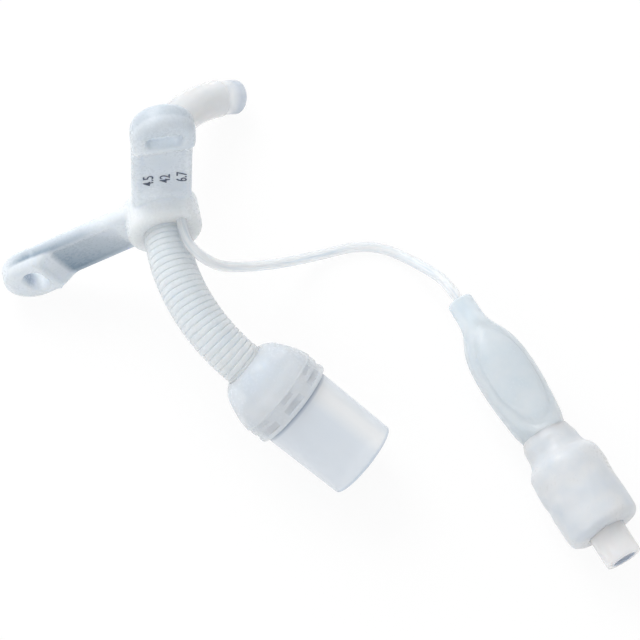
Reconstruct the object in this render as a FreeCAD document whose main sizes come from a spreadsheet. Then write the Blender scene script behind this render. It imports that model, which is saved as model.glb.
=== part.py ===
import FreeCAD, Part
import math
import os
import Sketcher

# Paediatric tracheostomy tube with a flexible extension, in millimetres.
# The main pieces are drawn in the tube's own axes, with the origin where the two
# flange wings meet: +x towards the right wing, +y the way the wings rise, +z out of
# the neck, along the extension. The tube is then laid on its three feet, which are
# the left wing, the tip of the cannula and the mouth of the connector.

Vector = FreeCAD.Vector
Rotation = FreeCAD.Rotation
Placement = FreeCAD.Placement

X_AXIS = Vector(1, 0, 0)
Y_AXIS = Vector(0, 1, 0)
Z_AXIS = Vector(0, 0, 1)

SIZES = {
    # neck flange
    "wing_angle": 30.8,
    "strap_width": 10.7,
    "strap_thick": 2.6,
    "strap_round": 1.0,
    "lobe_reach": 27.8,
    "lobe_radius": 5.55,
    "lobe_length": 2.8,
    "lobe_thick": 4.5,
    "lobe_lift": 0.9,
    "lobe_round": 1.3,
    "slot_reach": 27.3,
    "slot_length": 7.3,
    "slot_width": 3.9,
    "panel_start": 8.6,
    "panel_margin": 1.1,
    "panel_depth": 0.35,
    "hub_radius": 6.8,
    "hub_front": 5.0,
    "hub_back": 2.4,
    "hub_round": 1.4,
    "port_radius": 1.7,
    "port_offset": 5.35,
    # cannula and cuff
    "shaft_diameter": 6.7,
    "shaft_bore": 4.5,
    "shaft_length": 42.0,
    "shaft_straight": 1.0,
    "shaft_bend": 78.4,
    "tip_round": 0.7,
    "cuff_diameter": 7.3,
    "cuff_length": 15.0,
    "cuff_to_tip": 5.0,
    "cuff_feather": 0.2,
    # flexible extension
    "rib_diameter": 8.3,
    "rib_depth": 0.38,
    "rib_count": 26,
    "flex_bore": 5.6,
    "flex_seat": 2.0,
    "flex_straight": 3.0,
    "flex_bend_radius": 29.0,
    "flex_bend": 52.8,
    # boot over the connector
    "boot_length": 11.6,
    "boot_seat": 5.1,
    "boot_lip": 0.4,
    "boot_radius": 8.7,
    "boot_wall": 0.55,
    "dome_height": 4.5,
    "dome_radius": 7.9,
    "skirt_start": 7.7,
    "rim_round": 0.4,
    "rim_thick": 0.9,
    "window_count": 8,
    "window_height": 1.2,
    "window_width": 4.3,
    "window_depth": 0.35,
    "vent_width": 2.6,
    "vent_height": 1.0,
    "vent_spacing": 0.9,
    # connector
    "cone_length": 16.4,
    "cone_mouth": 15.05,
    "cone_taper": 0.025,
    "cone_wall": 1.0,
    "funnel_length": 4.0,
    "mouth_bevel": 0.3,
    "collar_lift": 0.8,
    "stem_length": 3.0,
    "stem_wall": 0.5,
    "collar_thick": 0.8,
    # inflation line and pilot balloon
    "line_diameter": 2.0,
    "balloon_neck": 2.5,
    "balloon_width": 11.6,
    "balloon_height": 8.0,
    "balloon_wall": 0.5,
    "balloon_length": 30.5,
    "balloon_tail": 3.5,
    # inflation valve
    "sleeve_neck": 5.3,
    "sleeve_radius": 7.1,
    "sleeve_length": 21.5,
    "sleeve_wall": 1.2,
    "sleeve_lip": 0.9,
    "sleeve_end": 1.5,
    "neck_length": 4.6,
    "shoulder_length": 2.6,
    "lip_round": 0.4,
    "back_round": 1.8,
    "luer_length": 6.0,
    "luer_radius": 3.5,
    "luer_bore": 4.3,
    "luer_depth": 7.5,
    "barrel_length": 11.5,
    "chamber_radius": 4.3,
    "seat_thick": 1.2,
    "luer_taper": 0.06,
    "seat_bore": 2.8,
    "stem_rod": 1.8,
    "stem_head": 3.2,
    "head_thick": 1.2,
    "stem_recess": 3.0,
    "stem_tail": 0.5,
    "seal_thick": 0.8,
    "spring_wire": 0.35,
    "spring_radius": 2.4,
    "spring_turns": 4,
    "wire_flats": 8,
    "retainer_thick": 1.0,
    "retainer_recess": 0.5,
    "air_ports": 4,
    "air_port_radius": 0.7,
    "air_port_offset": 2.4,
    # clearances
    "seat_gap": 0.03,
    "running_gap": 0.1,
    "mouth_gap": 0.2,
}

# The way the tube lies before it is levelled: the directions of its own x and y axes.
START_X = Vector(0.444, 0.275, 0.853)
START_Y = Vector(-0.822, -0.255, 0.510)

# The line's route over the table, chosen by eye. It leaves the flange and meets the
# balloon's neck squarely, with a straight lead at both ends.
LINE_LEAD = 4.2
NECK_LEAD = 4.4
LINE_ROUTE = [
    (-2.15, -7.0, 24.1),
    (1.5, -7.6, 22.0),
    (4.4, -5.3, 17.6),
    (8.1, -1.7, 12.0),
    (12.0, 2.0, 7.0),
    (15.9, 5.5, 3.2),
    (20.5, 8.7, 1.2),
    (25.7, 11.5, 1.02),
    (31.0, 12.4, 1.02),
    (36.0, 11.0, 1.5),
    (40.4, 8.1, 4.2),
]

# The pilot balloon's front end on the table, and the way the balloon and valve point.
PILOT_START = (47.1, 1.45)
PILOT_WAY = (0.641, -0.7675, 0.0)

doc = FreeCAD.newDocument("tracheostomy_tube")
sheet = doc.addObject("Spreadsheet::Sheet", "Sizes")
for row, (alias, number) in enumerate(SIZES.items(), start=1):
    sheet.set(f"A{row}", str(number))
    sheet.setAlias(f"A{row}", alias)
doc.recompute()


def value(expression):
    """Work out an expression of the sheet's sizes, such as Sizes.lobe_radius * 2."""
    answer = sheet.evalExpression(expression)
    return float(getattr(answer, "Value", answer))


def size(alias):
    return value("Sizes." + alias)


def new_body(label):
    body = doc.addObject("PartDesign::Body", label)
    body.Label = label
    return body


def body_plane(body, role):
    return next(item for item in body.Origin.OriginFeatures if item.Role == role)


def new_sketch(body, name, role, offset=None, turn=None):
    """A sketch on one of the body's own planes, lifted and turned by sheet expressions."""
    sketch = body.newObject("Sketcher::SketchObject", name)
    sketch.AttachmentSupport = [(body_plane(body, role), "")]
    sketch.MapMode = "FlatFace"
    if turn:
        sketch.AttachmentOffset = Placement(Vector(), Rotation(Z_AXIS, value(turn)))
        sketch.setExpression("AttachmentOffset.Rotation.Angle", turn)
    if offset:
        sketch.setExpression("AttachmentOffset.Base.z", offset)
    return sketch


def pin_point(sketch, geometry, end, across, up):
    """Bind one end of a line or arc to two expressions."""
    for kind, axis, expression in (("DistanceX", -2, across), ("DistanceY", -1, up)):
        if expression == "0":
            sketch.addConstraint(Sketcher.Constraint("PointOnObject", geometry, end, axis))
            continue
        index = sketch.addConstraint(
            Sketcher.Constraint(kind, -1, 1, geometry, end, value(expression)))
        sketch.setExpression(f"Constraints[{index}]", expression)


def draw_outline(sketch, corners):
    """Join corners into a closed outline. A corner is (across, up) for a straight run to the
    next one, or (across, up, via_across, via_up) for an arc to the next one through a point."""
    places = [Vector(value(corner[0]), value(corner[1]), 0) for corner in corners]
    count = len(corners)
    for index, corner in enumerate(corners):
        start, finish = places[index], places[(index + 1) % count]
        if len(corner) == 4:
            middle = Vector(value(corner[2]), value(corner[3]), 0)
            sketch.addGeometry(Part.Arc(start, middle, finish), False)
        else:
            sketch.addGeometry(Part.LineSegment(start, finish), False)
    starts = []
    finishes = []
    for index, edge in enumerate(sketch.Geometry[:count]):
        points = (edge.StartPoint, edge.EndPoint)
        forward = (points[0] - places[index]).Length <= (points[1] - places[index]).Length
        starts.append(1 if forward else 2)
        finishes.append(2 if forward else 1)
    for index in range(count):
        following = (index + 1) % count
        sketch.addConstraint(Sketcher.Constraint(
            "Coincident", index, finishes[index], following, starts[following]))
    for index, corner in enumerate(corners):
        pin_point(sketch, index, starts[index], corner[0], corner[1])
        if len(corner) == 4:
            middle = Vector(value(corner[2]), value(corner[3]), 0)
            helper = sketch.addGeometry(Part.Point(middle), True)
            pin_point(sketch, helper, 1, corner[2], corner[3])
            sketch.addConstraint(Sketcher.Constraint("PointOnObject", helper, 1, index))


def draw_circle(sketch, across, up, radius):
    centre = Vector(value(across), value(up), 0)
    index = sketch.addGeometry(Part.Circle(centre, Z_AXIS, value(radius)), False)
    pin_point(sketch, index, 3, across, up)
    rule = sketch.addConstraint(Sketcher.Constraint("Radius", index, value(radius)))
    sketch.setExpression(f"Constraints[{rule}]", radius)


def new_feature(body, kind, name, sketch, length=None, symmetric=False, through=False):
    doc.recompute()
    feature = body.newObject("PartDesign::" + kind, name)
    feature.Profile = sketch
    if length:
        feature.setExpression("Length", length)
    if through:
        feature.Type = "ThroughAll"
    if symmetric:
        feature.SideType = "Symmetric"
    sketch.Visibility = False
    body.Tip = feature
    doc.recompute()
    return feature


def revolve(body, name, sketch, angle=None, axis="V_Axis", backwards=False):
    doc.recompute()
    feature = body.newObject("PartDesign::Revolution", name)
    feature.Profile = sketch
    feature.ReferenceAxis = (sketch, [axis])
    feature.Angle = 360
    feature.Reversed = backwards
    if angle:
        feature.setExpression("Angle", angle)
    body.Tip = feature
    doc.recompute()
    return feature


def round_edges(body, name, feature, radius, wanted, kind="Fillet"):
    """Round or bevel the edges of a feature for which the test says yes."""
    edges = [f"Edge{index}" for index, edge in enumerate(feature.Shape.Edges, start=1)
             if wanted(edge)]
    rounding = body.newObject("PartDesign::" + kind, name)
    rounding.Base = (feature, edges)
    rounding.setExpression("Radius" if kind == "Fillet" else "Size", radius)
    body.Tip = rounding
    doc.recompute()
    return rounding


# The flange: one moulding of soft silicone, with two flat wings and a round hub.

WING_STEP = "(Sizes.lobe_reach - Sizes.lobe_length)"
ARC_SHARE = str(round(1 - math.sqrt(0.5), 6))


def wing_section(body, name, reach, half_width, half_thick, rounding, lift="0", half=False):
    """A rounded section across the right wing, at a distance along it from the middle."""
    sketch = body.newObject("Sketcher::SketchObject", name)
    sketch.AttachmentSupport = [(body_plane(body, "YZ_Plane"), "")]
    sketch.MapMode = "FlatFace"
    sketch.AttachmentOffset = Placement(Vector(), Rotation(Y_AXIS, size("wing_angle")))
    sketch.setExpression("AttachmentOffset.Rotation.Angle", "Sizes.wing_angle")
    sketch.setExpression("AttachmentOffset.Base.x", f"{reach} * sin(Sizes.wing_angle * 1 deg)")
    sketch.setExpression("AttachmentOffset.Base.z", f"{reach} * cos(Sizes.wing_angle * 1 deg)")
    inner = f"({half_width} - {rounding})"
    round_x = f"({half_width} - {ARC_SHARE} * {rounding})"
    high = f"({lift} + {half_thick})"
    high_side = f"({high} - {rounding})"
    high_round = f"({high} - {ARC_SHARE} * {rounding})"
    low = f"({lift} - {half_thick})"
    low_side = f"({low} + {rounding})"
    low_round = f"({low} + {ARC_SHARE} * {rounding})"
    corners = [
        (inner, low, round_x, low_round),
        (half_width, low_side),
        (half_width, high_side, round_x, high_round),
        (inner, high),
    ]
    if half:
        corners += [("0", high), ("0", low)]
    else:
        corners += [
            (f"-{inner}", high, f"-{round_x}", high_round),
            (f"-{half_width}", high_side),
            (f"-{half_width}", low_side, f"-{round_x}", low_round),
            (f"-{inner}", low),
        ]
    draw_outline(sketch, corners)
    return sketch


def make_flange():
    body = new_body("neck_flange")
    strap = wing_section(body, "strap_section", "0", "Sizes.strap_width / 2",
                         "Sizes.strap_thick / 2", "Sizes.strap_round")
    new_feature(body, "Pad", "strap", strap, f"{WING_STEP} + Sizes.lobe_round")
    lobe_sizes = ("Sizes.lobe_radius", "Sizes.lobe_thick / 2", "Sizes.lobe_round",
                  "Sizes.lobe_lift")
    lobe = wing_section(body, "lobe_section", WING_STEP, *lobe_sizes)
    new_feature(body, "Pad", "lobe", lobe, "Sizes.lobe_length")
    tip = wing_section(body, "tip_section", "Sizes.lobe_reach", *lobe_sizes, half=True)
    revolve(body, "lobe_tip", tip, "180 * 1 deg", backwards=True)
    panel = new_sketch(body, "panel_outline", "XY_Plane", "Sizes.strap_thick / 2",
                       "Sizes.wing_angle")
    panel_half = "(Sizes.strap_width / 2 - Sizes.panel_margin)"
    panel_end = f"({WING_STEP} - 0.6 * Sizes.panel_margin)"
    draw_outline(panel, [
        ("Sizes.panel_start", f"-{panel_half}"),
        (panel_end, f"-{panel_half}"),
        (panel_end, panel_half),
        ("Sizes.panel_start", panel_half),
    ])
    new_feature(body, "Pocket", "panel", panel, "Sizes.panel_depth")
    slot = new_sketch(body, "slot_outline", "XY_Plane", turn="Sizes.wing_angle")
    half_width = "Sizes.slot_width / 2"
    half_run = "((Sizes.slot_length - Sizes.slot_width) / 2)"
    draw_outline(slot, [
        (f"Sizes.slot_reach - {half_width}", f"-{half_run}",
         "Sizes.slot_reach", "-Sizes.slot_length / 2"),
        (f"Sizes.slot_reach + {half_width}", f"-{half_run}"),
        (f"Sizes.slot_reach + {half_width}", half_run,
         "Sizes.slot_reach", "Sizes.slot_length / 2"),
        (f"Sizes.slot_reach - {half_width}", half_run),
    ])
    new_feature(body, "Pocket", "slot", slot, symmetric=True, through=True)
    both = body.newObject("PartDesign::Mirrored", "both_wings")
    both.TransformMode = "Whole shape"
    both.MirrorPlane = (body_plane(body, "YZ_Plane"), [""])
    body.Tip = both
    doc.recompute()
    hub = new_sketch(body, "hub_profile", "XZ_Plane")
    shoulder = f"Sizes.hub_radius - {ARC_SHARE} * Sizes.hub_round"
    draw_outline(hub, [
        ("0", "-Sizes.hub_back"),
        ("Sizes.hub_radius - Sizes.hub_round", "-Sizes.hub_back",
         shoulder, f"-Sizes.hub_back + {ARC_SHARE} * Sizes.hub_round"),
        ("Sizes.hub_radius", "-Sizes.hub_back + Sizes.hub_round"),
        ("Sizes.hub_radius", "Sizes.hub_front - Sizes.hub_round",
         shoulder, f"Sizes.hub_front - {ARC_SHARE} * Sizes.hub_round"),
        ("Sizes.hub_radius - Sizes.hub_round", "Sizes.hub_front"),
        ("0", "Sizes.hub_front"),
    ])
    revolve(body, "hub", hub)
    port = new_sketch(body, "port_outline", "XY_Plane")
    draw_circle(port, "Sizes.port_offset", "0", "Sizes.port_radius")
    new_feature(body, "Pad", "line_port", port, "Sizes.hub_front")
    bore = new_sketch(body, "bore_outline", "XY_Plane")
    draw_circle(bore, "0", "0", "Sizes.shaft_diameter / 2 + Sizes.seat_gap")
    new_feature(body, "Pocket", "shaft_bore", bore, symmetric=True, through=True)
    seat = new_sketch(body, "seat_outline", "XY_Plane", "Sizes.hub_front")
    draw_circle(seat, "0", "0", "Sizes.rib_diameter / 2 + Sizes.seat_gap")
    new_feature(body, "Pocket", "extension_seat", seat, "Sizes.flex_seat")
    return body


# The cannula: a curved silicone tube that starts inside the hub.

BEND_RADIUS = "((Sizes.shaft_length - Sizes.shaft_straight) / (Sizes.shaft_bend * pi / 180))"
BEND_START = "(Sizes.strap_thick / 2 + Sizes.shaft_straight)"


def draw_ring(sketch, outer, inner):
    draw_circle(sketch, "0", "0", outer)
    draw_circle(sketch, "0", "0", inner)


def bend_tube(body, name, outer, inner, angle):
    """Turn a ring-shaped section about the centre of the cannula's bend."""
    section = new_sketch(body, name + "_section", "XY_Plane", f"-{BEND_START}")
    draw_ring(section, outer, inner)
    axis = section.addGeometry(
        Part.LineSegment(Vector(0, -value(BEND_RADIUS), 0),
                         Vector(size("shaft_diameter"), -value(BEND_RADIUS), 0)), True)
    pin_point(section, axis, 1, "0", f"-{BEND_RADIUS}")
    pin_point(section, axis, 2, "Sizes.shaft_diameter", f"-{BEND_RADIUS}")
    return revolve(body, name, section, angle, "Axis0", backwards=True)


def make_cannula():
    body = new_body("cannula")
    straight = new_sketch(body, "straight_section", "XY_Plane", f"-{BEND_START}")
    draw_ring(straight, "Sizes.shaft_diameter / 2", "Sizes.shaft_bore / 2")
    new_feature(body, "Pad", "straight_part", straight,
                f"Sizes.hub_front - Sizes.flex_seat + {BEND_START}")
    bend = bend_tube(body, "bent_part", "Sizes.shaft_diameter / 2", "Sizes.shaft_bore / 2",
                     "Sizes.shaft_bend")
    tip = shaft_place(size("shaft_length"))[0]

    def is_tip_rim(edge):
        centre = getattr(edge.Curve, "Center", None)
        radius = getattr(edge.Curve, "Radius", 0)
        return (centre is not None and (centre - tip).Length < 1e-3
                and abs(radius - size("shaft_diameter") / 2) < 1e-3)

    round_edges(body, "tip_rounding", bend, "Sizes.tip_round", is_tip_rim)
    return body


def shaft_place(along):
    """The point and direction of the cannula's centre line at a distance from the flange."""
    radius = value(BEND_RADIUS)
    turn = max(0.0, along - size("shaft_straight")) / radius
    straight = min(along, size("shaft_straight"))
    point = Vector(0, radius * (math.cos(turn) - 1),
                   -size("strap_thick") / 2 - straight - radius * math.sin(turn))
    return point, Vector(0, -math.sin(turn), -math.cos(turn))


# The cuff: a thin sleeve that lies tight on the cannula's lower part.

def make_cuff():
    body = new_body("cuff")
    sleeve = bend_tube(body, "cuff_sleeve", "Sizes.cuff_diameter / 2",
                       "Sizes.shaft_diameter / 2 + Sizes.seat_gap",
                       f"Sizes.cuff_length / {BEND_RADIUS} * 180 / pi")

    def is_outer_rim(edge):
        return abs(getattr(edge.Curve, "Radius", 0) - size("cuff_diameter") / 2) < 1e-3

    round_edges(body, "feathered_ends", sleeve, "Sizes.cuff_feather", is_outer_rim, "Chamfer")
    start = size("shaft_length") - size("cuff_to_tip") - size("cuff_length")
    turn = (start - size("shaft_straight")) / value(BEND_RADIUS)
    centre = Vector(0, -value(BEND_RADIUS), -value(BEND_START))
    body.Placement = Placement(Vector(), Rotation(X_AXIS, -math.degrees(turn)), centre)
    return body


# The flexible extension: a ribbed tube, seated in the hub and in the boot.

FLEX_VISIBLE = ("(Sizes.flex_straight"
                " + Sizes.flex_bend_radius * Sizes.flex_bend * pi / 180)")


def flex_place(along):
    """The point and direction of the extension's centre line at a distance from its seat."""
    lead = size("flex_seat") + size("flex_straight")
    radius = size("flex_bend_radius")
    bend = math.radians(size("flex_bend"))
    turn = min(max(0.0, along - lead) / radius, bend)
    beyond = max(0.0, along - lead - radius * bend)
    direction = Vector(0, -math.sin(turn), math.cos(turn))
    corner = Vector(0, radius * (math.cos(turn) - 1),
                    size("hub_front") - size("flex_seat") + min(along, lead)
                    + radius * math.sin(turn))
    return corner + direction * beyond, direction


def flex_ring(along, radius):
    point, direction = flex_place(along)
    return Part.Wire([Part.Circle(point, direction, radius).toShape()])


def make_extension():
    crest = size("rib_diameter") / 2
    valley = crest - size("rib_depth")
    visible = value(FLEX_VISIBLE)
    pitch = visible / size("rib_count")
    seat = size("flex_seat")
    total = seat + visible + size("boot_seat")
    rings = [flex_ring(0, crest), flex_ring(seat, crest)]
    for rib in range(int(size("rib_count"))):
        rings.append(flex_ring(seat + (rib + 0.5) * pitch, valley))
        rings.append(flex_ring(seat + (rib + 1) * pitch, crest))
    rings.append(flex_ring(total, crest))
    outside = Part.makeLoft(rings, True, True)
    lead = seat + size("flex_straight")
    bend_end = lead + size("flex_bend_radius") * math.radians(size("flex_bend"))
    middle = (lead + bend_end) / 2
    points = [flex_place(along)[0] for along in (0, lead, middle, bend_end, total)]
    path = Part.Wire([
        Part.LineSegment(points[0], points[1]).toShape(),
        Part.Arc(points[1], points[2], points[3]).toShape(),
        Part.LineSegment(points[3], points[4]).toShape(),
    ])
    bore = path.makePipeShell([flex_ring(0, size("flex_bore") / 2)], True, False)
    sleeve = doc.addObject("Part::Feature", "extension_sleeve")
    sleeve.Label = "extension_sleeve"
    sleeve.Shape = outside.cut(bore)
    return sleeve


# The boot: a domed silicone cover with two rows of shallow windows near its rim.

MOUTH_RADIUS = ("(Sizes.cone_mouth / 2 + Sizes.cone_length * Sizes.cone_taper / 2"
                " + Sizes.mouth_gap)")


def cut_windows(body, name, width, low, high, count):
    outline = new_sketch(body, name + "_outline", "XZ_Plane",
                         "Sizes.boot_radius - Sizes.window_depth")
    draw_outline(outline, [
        (f"-{width} / 2", low),
        (f"{width} / 2", low),
        (f"{width} / 2", high),
        (f"-{width} / 2", high),
    ])
    cut = new_feature(body, "Pocket", name, outline, "2 * Sizes.window_depth")
    cut.Reversed = True
    doc.recompute()
    ring = body.newObject("PartDesign::PolarPattern", name + "_ring")
    ring.Originals = [cut]
    ring.Axis = (body_plane(body, "Z_Axis"), [""])
    ring.setExpression("Occurrences", count)
    body.Tip = ring
    doc.recompute()


def make_boot():
    body = new_body("connector_boot")
    profile = new_sketch(body, "boot_profile", "XZ_Plane")
    neck = "(Sizes.rib_diameter / 2 + Sizes.boot_lip)"
    neck_bore = "Sizes.rib_diameter / 2 + Sizes.seat_gap"
    inside = "Sizes.boot_radius - Sizes.boot_wall"
    top = "Sizes.boot_length"
    draw_outline(profile, [
        (neck_bore, "0"),
        (neck, "0", f"{neck} + 0.57 * (Sizes.dome_radius - {neck})", "Sizes.dome_height / 3"),
        ("Sizes.dome_radius", "Sizes.dome_height",
         "Sizes.dome_radius + 0.65 * (Sizes.boot_radius - Sizes.dome_radius)",
         "(Sizes.dome_height + Sizes.skirt_start) / 2"),
        ("Sizes.boot_radius", "Sizes.skirt_start"),
        ("Sizes.boot_radius", f"{top} - Sizes.rim_round",
         f"Sizes.boot_radius - {ARC_SHARE} * Sizes.rim_round",
         f"{top} - {ARC_SHARE} * Sizes.rim_round"),
        ("Sizes.boot_radius - Sizes.rim_round", top),
        (MOUTH_RADIUS, top),
        (MOUTH_RADIUS, f"{top} - Sizes.rim_thick"),
        (inside, f"{top} - Sizes.rim_thick"),
        (inside, "Sizes.skirt_start"),
        ("Sizes.dome_radius - Sizes.boot_wall", "Sizes.boot_seat"),
        (neck_bore, "Sizes.boot_seat"),
    ])
    revolve(body, "dome", profile)
    window_top = f"{top} - Sizes.rim_thick"
    cut_windows(body, "windows", "Sizes.window_width",
                f"{window_top} - Sizes.window_height", window_top, "Sizes.window_count")
    vent_top = f"{window_top} - Sizes.window_height - Sizes.vent_spacing"
    cut_windows(body, "vents", "Sizes.vent_width",
                f"{vent_top} - Sizes.vent_height", vent_top, "Sizes.window_count")
    return body


# The 15 mm connector: a rigid tapered tube with a stem inside the extension and a
# collar that the boot's rim holds.

def cone_radius(station):
    return (f"(Sizes.cone_mouth / 2 + (Sizes.boot_length + Sizes.cone_length - ({station}))"
            " * Sizes.cone_taper / 2)")


def make_connector():
    body = new_body("connector_15mm")
    profile = new_sketch(body, "connector_profile", "XZ_Plane")
    bore = "(Sizes.flex_bore / 2 - Sizes.seat_gap - Sizes.stem_wall)"
    stem = "Sizes.flex_bore / 2 - Sizes.seat_gap"
    start = "Sizes.boot_seat - Sizes.stem_length"
    mouth = "(Sizes.boot_length + Sizes.cone_length)"
    collar_low = "Sizes.skirt_start + Sizes.collar_lift"
    collar_high = f"{collar_low} + Sizes.collar_thick"
    collar_radius = "Sizes.boot_radius - Sizes.boot_wall - Sizes.running_gap"
    inside = "Sizes.cone_mouth / 2 - Sizes.cone_wall"
    draw_outline(profile, [
        (bore, start),
        (stem, start),
        (stem, "Sizes.boot_seat"),
        ("Sizes.dome_radius - Sizes.boot_wall - 3 * Sizes.running_gap", "Sizes.boot_seat"),
        (cone_radius("Sizes.skirt_start"), "Sizes.skirt_start"),
        (cone_radius(collar_low), collar_low),
        (collar_radius, collar_low),
        (collar_radius, collar_high),
        (cone_radius(collar_high), collar_high),
        (cone_radius(f"{mouth} - Sizes.mouth_bevel"), f"{mouth} - Sizes.mouth_bevel"),
        (f"Sizes.cone_mouth / 2 - Sizes.mouth_bevel", mouth),
        (inside, mouth),
        (inside, "Sizes.boot_seat + Sizes.funnel_length + Sizes.cone_wall"),
        (bore, "Sizes.boot_seat + Sizes.cone_wall"),
    ])
    revolve(body, "turned_profile", profile)
    return body


# The pilot balloon: a thin blown bag with a solid neck for the line and an open tail.
# Each entry is a share of the balloon's length, and of its half width and half height.

BALLOON_FORM = [
    (0.19, 0.48, 0.68),
    (0.31, 0.80, 0.90),
    (0.45, 0.97, 1.00),
    (0.61, 1.00, 1.00),
    (0.78, 0.95, 0.98),
    (0.93, 0.86, 1.06),
]


def oval(station, half_width, half_height):
    if half_width >= half_height:
        curve = Part.Ellipse(Vector(), half_width, half_height)
    else:
        curve = Part.Ellipse(Vector(0, half_height, 0), Vector(half_width, 0, 0), Vector())
    ring = Part.Wire([curve.toShape()])
    ring.translate(Vector(0, 0, station))
    return ring


def make_balloon():
    length = size("balloon_length")
    half_width = size("balloon_width") / 2
    half_height = size("balloon_height") / 2
    neck = size("balloon_neck")
    wall = size("balloon_wall")
    tail = size("sleeve_neck") - size("sleeve_lip")
    outer = [oval(0, neck, neck * 0.999)]
    inner = []
    for share, wide, high in BALLOON_FORM:
        outer.append(oval(share * length, wide * half_width, high * half_height))
        inner.append(oval(share * length, wide * half_width - wall, high * half_height - wall))
    for station in (length, length + size("balloon_tail")):
        outer.append(oval(station, tail, tail * 0.999))
        inner.append(oval(station, tail - wall, (tail - wall) * 0.999))
    bag = Part.makeLoft(outer, True, True)
    hollow = Part.makeLoft(inner, True, True)
    balloon = doc.addObject("Part::Feature", "pilot_balloon")
    balloon.Label = "pilot_balloon"
    balloon.Shape = bag.cut(hollow)
    return balloon


# The valve's sleeve: a soft cover over the tail of the balloon and the valve's barrel.
# The valve's pieces are all drawn from the front end of this sleeve, with z towards the luer.

CAVITY_END = "(Sizes.sleeve_length - Sizes.sleeve_end)"
BARREL_START = f"({CAVITY_END} - Sizes.barrel_length)"
SEAT_FACE = f"({CAVITY_END} - Sizes.seat_thick)"
RETAINER_START = f"({BARREL_START} + Sizes.retainer_recess)"
LUER_MOUTH = "(Sizes.sleeve_length + Sizes.luer_length)"


def make_sleeve():
    body = new_body("valve_sleeve")
    profile = new_sketch(body, "sleeve_profile", "XZ_Plane")
    tail = "(Sizes.sleeve_neck - Sizes.sleeve_lip + Sizes.seat_gap)"
    cavity = "Sizes.sleeve_radius - Sizes.sleeve_wall"
    lip = "Sizes.lip_round"
    back = "Sizes.back_round"
    draw_outline(profile, [
        (tail, "0"),
        (f"Sizes.sleeve_neck - {lip}", "0", f"Sizes.sleeve_neck - {ARC_SHARE} * {lip}",
         f"{ARC_SHARE} * {lip}"),
        ("Sizes.sleeve_neck", lip),
        ("Sizes.sleeve_neck", "Sizes.neck_length",
         "Sizes.sleeve_neck + 0.65 * (Sizes.sleeve_radius - Sizes.sleeve_neck)",
         "Sizes.neck_length + 0.4 * Sizes.shoulder_length"),
        ("Sizes.sleeve_radius", "Sizes.neck_length + Sizes.shoulder_length"),
        ("Sizes.sleeve_radius", f"Sizes.sleeve_length - {back}",
         f"Sizes.sleeve_radius - {ARC_SHARE} * {back}",
         f"Sizes.sleeve_length - {ARC_SHARE} * {back}"),
        (f"Sizes.sleeve_radius - {back}", "Sizes.sleeve_length"),
        ("Sizes.luer_radius + Sizes.seat_gap", "Sizes.sleeve_length"),
        ("Sizes.luer_radius + Sizes.seat_gap", CAVITY_END),
        (cavity, CAVITY_END),
        (cavity, "Sizes.neck_length + Sizes.shoulder_length"),
        (tail, "Sizes.neck_length"),
    ])
    revolve(body, "moulded_sleeve", profile)
    return body


def make_valve_body():
    body = new_body("valve_body")
    profile = new_sketch(body, "valve_profile", "XZ_Plane")
    barrel = "Sizes.sleeve_radius - Sizes.sleeve_wall - Sizes.seat_gap"
    draw_outline(profile, [
        ("Sizes.chamber_radius", BARREL_START),
        (barrel, BARREL_START),
        (barrel, CAVITY_END),
        ("Sizes.luer_radius", CAVITY_END),
        ("Sizes.luer_radius", f"{LUER_MOUTH} - Sizes.mouth_bevel"),
        ("Sizes.luer_radius - Sizes.mouth_bevel", LUER_MOUTH),
        ("Sizes.luer_bore / 2", LUER_MOUTH),
        ("Sizes.luer_bore / 2 - Sizes.luer_taper * Sizes.luer_depth / 2",
         f"{LUER_MOUTH} - Sizes.luer_depth"),
        ("Sizes.seat_bore / 2", f"{LUER_MOUTH} - Sizes.luer_depth"),
        ("Sizes.seat_bore / 2", SEAT_FACE),
        ("Sizes.chamber_radius", SEAT_FACE),
    ])
    revolve(body, "turned_body", profile)
    return body


def make_valve_stem():
    body = new_body("valve_stem")
    profile = new_sketch(body, "stem_profile", "XZ_Plane")
    head_top = f"{SEAT_FACE} - Sizes.seal_thick"
    head_low = f"{head_top} - Sizes.head_thick"
    draw_outline(profile, [
        ("0", f"{RETAINER_START} - Sizes.stem_tail"),
        ("Sizes.stem_rod / 2", f"{RETAINER_START} - Sizes.stem_tail"),
        ("Sizes.stem_rod / 2", head_low),
        ("Sizes.stem_head", head_low),
        ("Sizes.stem_head", head_top),
        ("Sizes.stem_rod / 2", head_top),
        ("Sizes.stem_rod / 2", f"{LUER_MOUTH} - Sizes.stem_recess"),
        ("0", f"{LUER_MOUTH} - Sizes.stem_recess"),
    ])
    revolve(body, "turned_stem", profile)
    return body


def make_washer(label, inner, outer, start, thickness):
    body = new_body(label)
    ring = new_sketch(body, label + "_ring", "XY_Plane", start)
    draw_ring(ring, outer, inner)
    feature = new_feature(body, "Pad", label + "_disc", ring, thickness)
    return body, feature


def make_retainer():
    body = make_washer("valve_retainer", "Sizes.stem_rod / 2 + Sizes.running_gap",
                       "Sizes.chamber_radius - Sizes.seat_gap", RETAINER_START,
                       "Sizes.retainer_thick")[0]
    port = new_sketch(body, "air_port_outline", "XY_Plane", RETAINER_START)
    draw_circle(port, "Sizes.air_port_offset", "0", "Sizes.air_port_radius")
    cut = new_feature(body, "Pocket", "air_port", port, symmetric=True, through=True)
    ring = body.newObject("PartDesign::PolarPattern", "air_ports")
    ring.Originals = [cut]
    ring.Axis = (body_plane(body, "Z_Axis"), [""])
    ring.setExpression("Occurrences", "Sizes.air_ports")
    body.Tip = ring
    doc.recompute()
    return body


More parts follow.
